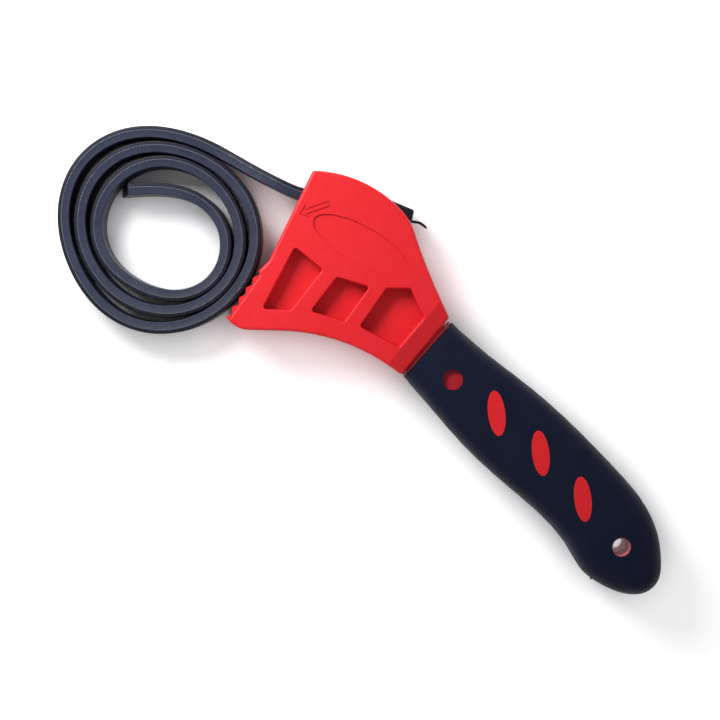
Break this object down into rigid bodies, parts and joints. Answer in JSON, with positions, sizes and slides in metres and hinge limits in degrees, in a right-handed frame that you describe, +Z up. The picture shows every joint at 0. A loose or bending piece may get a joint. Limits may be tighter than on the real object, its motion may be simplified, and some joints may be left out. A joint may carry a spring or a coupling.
{
  "type": "rubber strap wrench",
  "caption": "Strap wrench for round filters: toothed plastic head, soft-grip handle and a rubber strap lying in a coil.",
  "frame": {"origin": "under the middle of the tool's outline without its strap, on the plane that the tool lies on", "axes": "+X from the hanging hole towards the head, +Y towards the toothed nose, +Z up through the head's faces"},
  "size_m": [0.2713, 0.1136, 0.025],
  "materials": {
    "red_nylon": "fine moulded satin",
    "soft_grip": "smooth soft-touch",
    "strap_rubber": "matt, slightly bloomed",
    "ply_fabric": "rubber-coated woven ply"
  },
  "bodies": {
    "head": {"wrench_body": "red_nylon", "grip_sleeve": "soft_grip"},
    "strap_anchor": {"strap_anchor_run": "strap_rubber", "strap_stop_block": "strap_rubber", "strap_ply": "ply_fabric"},
    "strap_free": {"strap_lead": "strap_rubber", "strap_coil": "strap_rubber", "strap_tail": "strap_rubber"}
  },
  "joints": [
    {"name": "strap_slide", "type": "slide", "parent": "head", "child": "strap_anchor", "axis": [0.8406, 0.5417, 0], "range_m": [0, 0.004]},
    {"name": "strap_swing", "type": "hinge", "parent": "strap_anchor", "child": "strap_free", "pos_m": [0.10133, -0.0136, 0.0125], "axis": [0, 0, 1], "range_deg": [-40, 0]}
  ]
}
